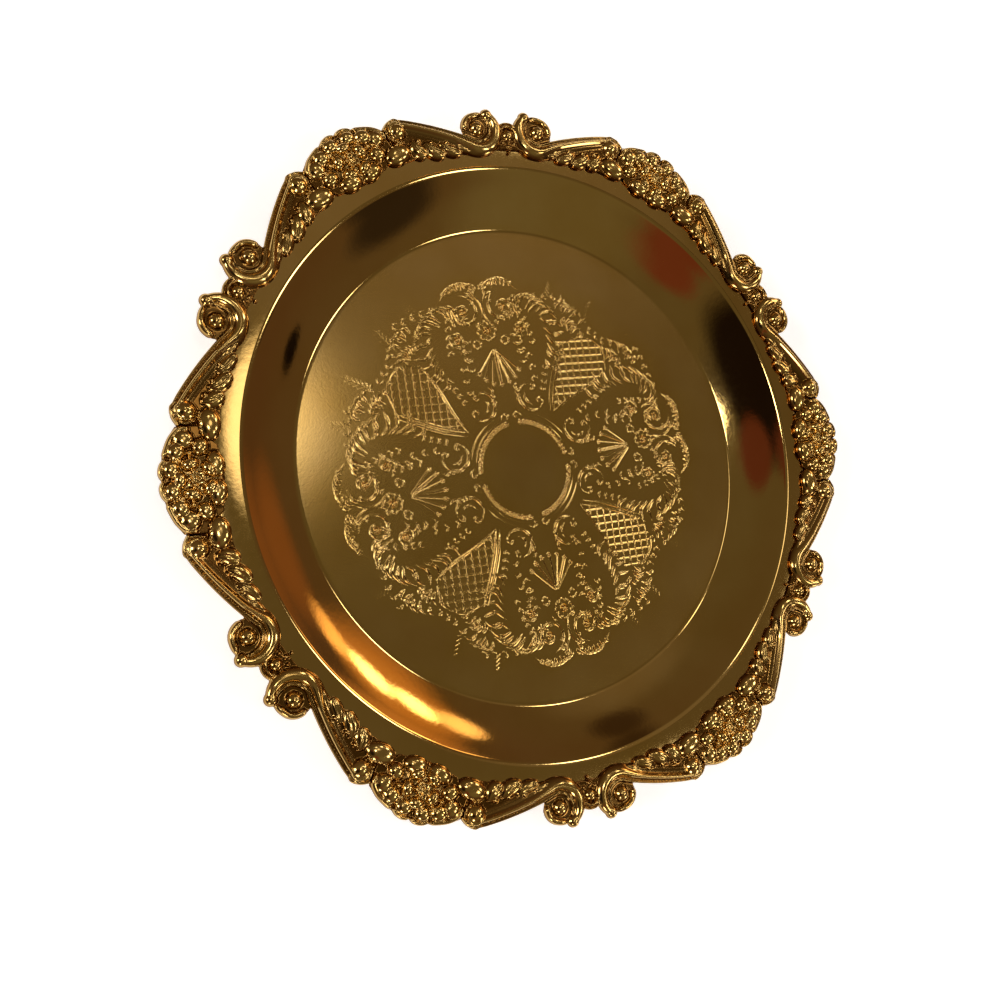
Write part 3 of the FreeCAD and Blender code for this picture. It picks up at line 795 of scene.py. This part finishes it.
def scroll_roll(skin, scroll, volute):
    """C-scroll and S-roll as one roll, from the tip beside the cusp to the crook round the volute."""
    bend = arc(scroll, SCROLL_RADIUS, SCROLL_TIP_ANGLE + 6, SCROLL_JOIN_ANGLE, 60)
    run = arc(run_middle_of(scroll), RUN_RADIUS, SCROLL_JOIN_ANGLE - 180, RUN_END_ANGLE, 90)[1:]
    crook = spiral(volute, 2.7, 88, -230, 0.95, 50)
    path = np.vstack([bend, run, crook])
    count = len(bend) + len(run)
    share = np.clip((np.arange(len(path)) - CHANGE_STEPS) / CHANGE_STEPS, 0, 1)[:, None, None]
    sections = np.array(C_SECTION) * (1 - share) + np.array(S_SECTION) * share
    step = np.arange(len(path)) / count
    widths = np.interp(step, [0, 0.1, 0.26, 0.5, 0.94, 1.1, 1.33], [3.4, 5.2, 6.0, 5.8, 4.6, 3.4, 1.8])
    heights = np.interp(step, [0, 0.08, 1, 1.14, 1.33], [2.2, ROLL_HEIGHT, ROLL_HEIGHT, 2.4, 1.5])
    sweep(skin, path, widths, heights, sections)
    dome(skin, scroll + polar(SCROLL_RADIUS, SCROLL_TIP_ANGLE + 4), 2.3, 2.5, 28)


def pearl_in_cup(skin, scroll):
    """Pearl held by the C-scroll, with a shell that closes the C."""
    plate(skin, arc(scroll, 5.6, 0, 348, 30), 0.8)
    dome(skin, scroll, 2.8, 3.0, 28)
    shell = np.vstack([[scroll + polar(6.0, 116)], arc(scroll, 4.6, 92, -24, 16)])
    roll(skin, smooth_curve(shell[::3]), 2.5, 2.2)


def scroll_leaves(skin):
    """Leaves that hang from the S-roll, with small beads between them."""
    cusp = QUARTER_TURN
    leaves = [
        ([polar(111.4, cusp - 10.6), polar(109.9, cusp - 9.4), polar(108.3, cusp - 7.4)], 3.4, 1.6),
        ([polar(112.2, cusp - 13.4), polar(109.9, cusp - 12.2), polar(107.7, cusp - 9.7)], 4.7, 2.0),
        ([polar(113.4, cusp - 16.2), polar(110.6, cusp - 15.3), polar(107.7, cusp - 13.0)], 5.6, 2.3),
        ([polar(115.0, cusp - 18.4), polar(111.8, cusp - 17.9), polar(108.8, cusp - 16.6)], 6.0, 2.4),
    ]
    for points, width, height in leaves:
        leaf(skin, points, width, height)
    for radius, angle in ((111.8, 12.2), (112.8, 15.0), (114.2, 17.3)):
        dome(skin, polar(radius, cusp - angle), 0.9, 2.3, 14)


def volute_and_lobe(skin, volute):
    """Smooth dome in the crook of the roll, and the cupped lobe inside it."""
    dome(skin, volute, 3.4, 3.3, 40)
    across = polar(1, -PERIOD / 2)
    inward = polar(1, -PERIOD / 2 - QUARTER_TURN)
    lobe = volute + LOBE_STEP
    pillow(skin, lobe, 10.6, 7.2, -PERIOD / 2, 2.6)
    fold = [lobe - across * 3.6 - inward * 0.6, lobe + inward * 0.9, lobe + across * 3.2 - inward * 0.4]
    leaf(skin, fold, 1.5, 2.0)
    for number in range(4):
        dome(skin, lobe + across * (1.7 * number - 2.6) - inward * 2.9, 0.6, 2.3, 12)
    for number in range(3):
        dome(skin, volute + polar(3.9, -62 - 24 * number), 0.65, 2.4, 12)


def cusp_link(skin):
    """Pearl link where two C-scrolls meet, with small beads towards the plate and arcs behind it."""
    dome(skin, (0, BORDER_RADIUS - 2.4), 2.3, 2.4, 24)
    for across, radius, size in ((0, 109.9, 0.9), (-2.1, 111.0, 0.75), (2.1, 111.0, 0.75), (0, 108.0, 0.7)):
        dome(skin, (across, radius), size, 1.7, 14)
    for radius, height in ((3.3, 2.0), (4.6, 1.7)):
        roll(skin, arc((0, BORDER_RADIUS - 2.6), radius, 152, 28, 16), 1.1, height)


def ground_plate(skin, scroll, volute):
    """Plates that join the ornaments of one half of a scroll run and meet the plate under the rose."""
    inner = arc((0, 0), RIM_RADIUS + 6.4, QUARTER_TURN, QUARTER_TURN - 21.5, 16)
    outer = arc(run_middle_of(scroll), RUN_RADIUS, RUN_END_ANGLE, SCROLL_JOIN_ANGLE - 180, 10)
    across, outward = polar(1, -PERIOD / 2), polar(1, QUARTER_TURN - PERIOD / 2)
    lobe = volute + LOBE_STEP
    plate(skin, np.vstack([inner, [lobe, volute], outer, [scroll, (0, BORDER_RADIUS - 0.4)]]), 0.7)
    heart = BORDER_RADIUS * outward
    joint = heart - across * (ROSE_PLATE_EDGE - 0.1)
    shoulder = smooth_curve([joint + outward * 4.3, volute + outward * 4.1 + across * 1.2,
                             volute + outward * 3.9])
    plate(skin, np.vstack([[lobe, joint - outward * 1.2], shoulder, [volute]]), 0.5)
    ridge = [joint + outward * 3.5 + across * 0.15, volute + outward * 3.7 + across * 1.6,
             volute + outward * 3.9 - across * 0.8]
    roll(skin, smooth_curve(ridge), 1.3, 2.1)


def make_scroll_skin():
    """One scroll run with its cusp on +Y."""
    half = Skin()
    scroll = polar(BORDER_RADIUS, QUARTER_TURN - SCROLL_ANGLE)
    volute = np.array(VOLUTE_PLACE)
    ground_plate(half, scroll, volute)
    scroll_roll(half, scroll, volute)
    pearl_in_cup(half, scroll)
    scroll_leaves(half)
    volute_and_lobe(half, volute)
    skin = Skin()
    skin.join(half)
    skin.join(half, lambda points: points * (-1, 1, 1), flip=True)
    cusp_link(skin)
    return skin


def make_border(material):
    castings = (("rose", melted(make_rose_skin()), 0), ("scroll", melted(make_scroll_skin()), -PERIOD / 2))
    for kind, skin, first_turn in castings:
        for number in range(REPEATS):
            copy = Skin()
            copy.join(skin, lambda points: turned(points, first_turn - number * PERIOD))
            name, node = f"{kind}_{number + 1}", f"{kind}_mount_{number + 1}"
            make_piece(name, copy, material, node, CASTING_SHARP_FROM)


class Nodes:
    """Short way to make a material's nodes and link them."""

    def __init__(self, owner):
        self.tree = owner.node_tree

    def add(self, kind, **values):
        node = self.tree.nodes.new(kind)
        for key, value in values.items():
            if key.startswith("in_"):
                name = key[3:].replace("_", " ")
                target = node.inputs[int(name)] if name.isdigit() else node.inputs[name]
                if isinstance(value, bpy.types.NodeSocket):
                    self.tree.links.new(value, target)
                else:
                    target.default_value = value
            else:
                setattr(node, key, value)
        return node

    def ramp(self, factor, stops):
        node = self.add("ShaderNodeValToRGB", in_Fac=factor)
        elements = node.color_ramp.elements
        while len(elements) < len(stops):
            elements.new(0.5)
        for element, (place, colour) in zip(elements, stops):
            element.position = place
            element.color = (*colour, 1)
        return node.outputs["Color"]

    def noise(self, place, scale, detail):
        node = self.add("ShaderNodeTexNoise", in_Vector=place, in_Scale=scale, in_Detail=detail)
        return node.outputs["Fac"]


GOLD = (0.66, 0.42, 0.13)
GOLD_PALE = (0.74, 0.50, 0.19)
# Dark brown of the painted shade in the recesses of the castings.
PAINTED_SHADE_BROWN = (0.22, 0.13, 0.05)


CLOUD_SCALE = 38.0
CLOUD_DETAIL = 4.0
SCRATCH_DETAIL = 6.0
SCRATCH_DEPTH = 0.0002
# Height above the flange over which the painted shade in the castings' recesses fades out.
RECESS_DEPTH = 2.6


def painted_shade_in_recesses(nodes, place, colour):
    """The colour as it is on the crests of a casting, darkened with painted shade in the recesses near the
    flange.
    """
    height = nodes.add("ShaderNodeSeparateXYZ", in_Vector=place).outputs["Z"]
    low, high = FLANGE_HEIGHT * MM, (FLANGE_HEIGHT + RECESS_DEPTH) * MM
    share = nodes.add("ShaderNodeMapRange", in_Value=height, in_1=low, in_2=high).outputs["Result"]
    # Painted shade: the lower parts of a casting are darkened towards brown, standing in for shade in its
    # recesses.
    painted_shade = nodes.ramp(share, [(0.2, PAINTED_SHADE_BROWN), (0.9, (1, 1, 1))])
    mixed = nodes.add("ShaderNodeMix", data_type="RGBA", blend_type="MULTIPLY", in_0=1.0, in_6=colour,
                      in_7=painted_shade)
    return mixed.outputs[2]


def gold_material(name, roughness, swing, bump, scratch_scale, tint=None):
    """Gold-toned metal whose colour and gloss vary a little, with fine scratches; a tint function, where
    given, adds painted shade to the colour.
    """
    material = bpy.data.materials.new(name)
    material.use_nodes = True
    nodes = Nodes(material)
    place = nodes.add("ShaderNodeTexCoord").outputs["Object"]
    colour = nodes.ramp(nodes.noise(place, CLOUD_SCALE, CLOUD_DETAIL), [(0.3, GOLD), (0.7, GOLD_PALE)])
    if tint:
        colour = tint(nodes, place, colour)
    grain = nodes.noise(place, scratch_scale, SCRATCH_DETAIL)
    gloss = nodes.add("ShaderNodeMapRange", in_Value=grain, in_3=roughness - swing, in_4=roughness + swing)
    relief = nodes.add("ShaderNodeBump", in_Height=grain, in_Strength=bump, in_Distance=SCRATCH_DEPTH)
    shader = nodes.tree.nodes["Principled BSDF"]
    nodes.tree.links.new(colour, shader.inputs["Base Color"])
    nodes.tree.links.new(gloss.outputs["Result"], shader.inputs["Roughness"])
    nodes.tree.links.new(relief.outputs["Normal"], shader.inputs["Normal"])
    shader.inputs["Metallic"].default_value = 1.0
    return material


# Room that the metal reflects: its tones below and above, and soft patches by direction (azimuth,
# elevation), how wide each is from full to none, and its colour. The photographer is a dark patch,
# the warm ones make the glow in the wall, and the small bright ones catch the edges of the relief.
ROOM_LOW = (0.105, 0.052, 0.026)
ROOM_HIGH = (0.128, 0.102, 0.052)
ROOM_PATCHES = [
    (165, 56, 14, 22, (0.012, 0.007, 0.005)),
    (24, 56, 6, 22, (0.2, 0.158, 0.1)),
    (133, 64, 5, 9, (0.12, 0.035, 0.02)),
    (-135, 57, 6, 11, (0.16, 0.045, 0.025)),
    (-150, 46, 2, 5, (0.30, 0.09, 0.05)),
    (-62, 28, 5, 11, (0.035, 0.024, 0.016)),
    (-36, 22, 1.5, 3.5, (0.008, 0.005, 0.004)),
    (38, 33, 2, 7, (0.05, 0.03, 0.016)),
    (2, 18, 4, 12, (0.7, 0.3, 0.08)),
    (-7, 14.5, 1, 4.5, (2.0, 1.1, 0.4)),
    (-1, 16.5, 1, 4, (6.0, 4.4, 2.4)),
    (5, 19, 1, 4, (6.0, 4.4, 2.4)),
    (11, 21.5, 1, 4.5, (2.4, 1.5, 0.7)),
    (-16, 11, 2, 10, (0.24, 0.1, 0.035)),
    (-95, 50, 8, 24, (0.17, 0.145, 0.08)),
    (16, 75, 1, 5.5, (2.3, 2.1, 1.75)),
    (18, 47, 1, 4.5, (9.0, 8.6, 7.8)),
    (52, 62, 1, 4.5, (6.0, 5.6, 5.0)),
    (-37, 41, 2, 6, (9.0, 8.6, 7.8)),
    (-61, 52, 2, 6, (9.0, 8.6, 7.8)),
    (-5, 36, 2, 6, (9.0, 8.6, 7.8)),
    (140, 30, 4, 11, (13.0, 12.4, 11.2)),
    (215, 26, 3, 9, (13.0, 12.4, 11.2)),
    (285, 10, 3, 8, (7.0, 6.5, 5.7)),
]


def direction(azimuth, elevation):
    """Unit vector towards a place in the room."""
    flat = math.cos(math.radians(elevation))
    return Vector((flat * math.cos(math.radians(azimuth)), flat * math.sin(math.radians(azimuth)),
                   math.sin(math.radians(elevation))))


def make_room():
    world = bpy.data.worlds.new("room")
    bpy.context.scene.world = world
    world.use_nodes = True
    nodes = Nodes(world)
    view = nodes.add("ShaderNodeTexCoord").outputs["Generated"]
    height = nodes.add("ShaderNodeSeparateXYZ", in_Vector=view).outputs["Z"]
    colour = nodes.ramp(height, [(0.0, ROOM_LOW), (0.9, ROOM_HIGH)])
    for azimuth, elevation, inner, outer, tone in ROOM_PATCHES:
        near = nodes.add("ShaderNodeVectorMath", operation="DOT_PRODUCT", in_0=view,
                         in_1=direction(azimuth, elevation))
        share = nodes.add("ShaderNodeMapRange", interpolation_type="SMOOTHSTEP",
                          in_Value=near.outputs["Value"], in_1=math.cos(math.radians(outer)),
                          in_2=math.cos(math.radians(inner)))
        mixed = nodes.add("ShaderNodeMix", data_type="RGBA", in_0=share.outputs["Result"], in_6=colour,
                          in_7=(*tone, 1))
        colour = mixed.outputs[2]
    # The camera itself sees the pale backdrop all around.
    seen = nodes.add("ShaderNodeLightPath").outputs["Is Camera Ray"]
    backdrop = nodes.add("ShaderNodeMix", data_type="RGBA", in_0=seen, in_6=colour, in_7=(1, 1, 1, 1))
    world.node_tree.links.new(backdrop.outputs[2], world.node_tree.nodes["Background"].inputs["Color"])


# Floor, in metres: its reach, how bright it looks by itself, and its tone in the light.
FLOOR_REACH = 6.0
FLOOR_GLOW = 0.72
FLOOR_TONE = (0.8, 0.8, 0.8, 1)


def make_floor():
    """Plain pale floor: near white to the camera and in the metal, and it keeps the shadow."""
    reach = FLOOR_REACH
    corners = [(-reach, -reach, 0), (reach, -reach, 0), (reach, reach, 0), (-reach, reach, 0)]
    mesh = bpy.data.meshes.new("floor")
    mesh.from_pydata(corners, [], [(0, 1, 2, 3)])
    material = bpy.data.materials.new("pale_floor")
    material.use_nodes = True
    nodes = Nodes(material)
    tree = nodes.tree
    tree.nodes.remove(tree.nodes["Principled BSDF"])
    rays = nodes.add("ShaderNodeLightPath").outputs
    seen = rays["Is Camera Ray"]
    for kind in ("Is Glossy Ray", "Is Transmission Ray"):
        seen = nodes.add("ShaderNodeMath", operation="MAXIMUM", in_0=seen, in_1=rays[kind]).outputs[0]
    strength = nodes.add("ShaderNodeMath", operation="MULTIPLY", in_0=seen, in_1=FLOOR_GLOW)
    glow = nodes.add("ShaderNodeEmission", in_Color=(1, 1, 1, 1), in_Strength=strength.outputs[0])
    matt = nodes.add("ShaderNodeBsdfDiffuse", in_Color=FLOOR_TONE)
    both = nodes.add("ShaderNodeAddShader", in_0=glow.outputs[0], in_1=matt.outputs[0])
    tree.links.new(both.outputs[0], tree.nodes["Material Output"].inputs["Surface"])
    mesh.materials.append(material)
    floor = bpy.data.objects.new("floor", mesh)
    bpy.context.collection.objects.link(floor)


# Lamps aimed at the middle of the plate: place and size in metres, power and colour.
LAMPS = {
    "overhead": ((-0.1, 0.08, 1.05), 0.15, 0.6, (1.0, 0.97, 0.92)),
    "side": ((-0.9, 0.75, 0.42), 0.2, 0.8, (1.0, 0.95, 0.88)),
}


def make_lamps():
    """Soft light from above, for the shadow on the floor."""
    for name, (place, size, power, colour) in LAMPS.items():
        lamp = bpy.data.lights.new(name, "AREA")
        lamp.shape = "DISK"
        lamp.size = size
        lamp.energy = power
        lamp.color = colour
        item = bpy.data.objects.new(name, lamp)
        item.location = place
        item.rotation_euler = (-Vector(place)).to_track_quat("-Z", "Y").to_euler()
        bpy.context.collection.objects.link(item)


# Camera: the photograph's view. The sensor is in millimetres, the focal length in the photograph's
# pixels.
CAMERA_PLACE = (-159.0, 43.6, 320.4)
CAMERA_AIM = (-18.3, -3.7, 1.0)
CAMERA_ROLL = 72.7
CAMERA_SENSOR = 36
CAMERA_FOCAL = 1020
PHOTO_SIDE = 1000


def make_camera():
    camera = bpy.data.cameras.new("camera")
    camera.sensor_width = CAMERA_SENSOR
    camera.lens = CAMERA_SENSOR * CAMERA_FOCAL / PHOTO_SIDE
    camera.clip_start = 0.01
    camera.clip_end = 20
    item = bpy.data.objects.new("camera", camera)
    place, aim = Vector(CAMERA_PLACE) * MM, Vector(CAMERA_AIM) * MM
    look = (aim - place).to_track_quat("-Z", "Y").to_matrix()
    look = look @ Matrix.Rotation(math.radians(CAMERA_ROLL), 3, "Z")
    item.matrix_world = Matrix.Translation(place) @ look.to_4x4()
    bpy.context.collection.objects.link(item)
    bpy.context.scene.camera = item


bpy.context.scene.view_settings.view_transform = "Standard"
make_camera()
make_room()
make_floor()
make_lamps()

polished_gold = gold_material("polished_gold_sheet", roughness=0.06, swing=0.03, bump=0.05, scratch_scale=600)
satin_gold = gold_material("satin_gold_base", roughness=0.13, swing=0.02, bump=0.03, scratch_scale=1400)
# The castings carry painted shade in their recesses near the flange.
cast_gold = gold_material("cast_gold_relief", roughness=0.14, swing=0.04, bump=0.03, scratch_scale=900,
                          tint=painted_shade_in_recesses)

make_dish_wall(polished_gold)
make_dish_base(satin_gold, chased_medallion())
make_border(cast_gold)
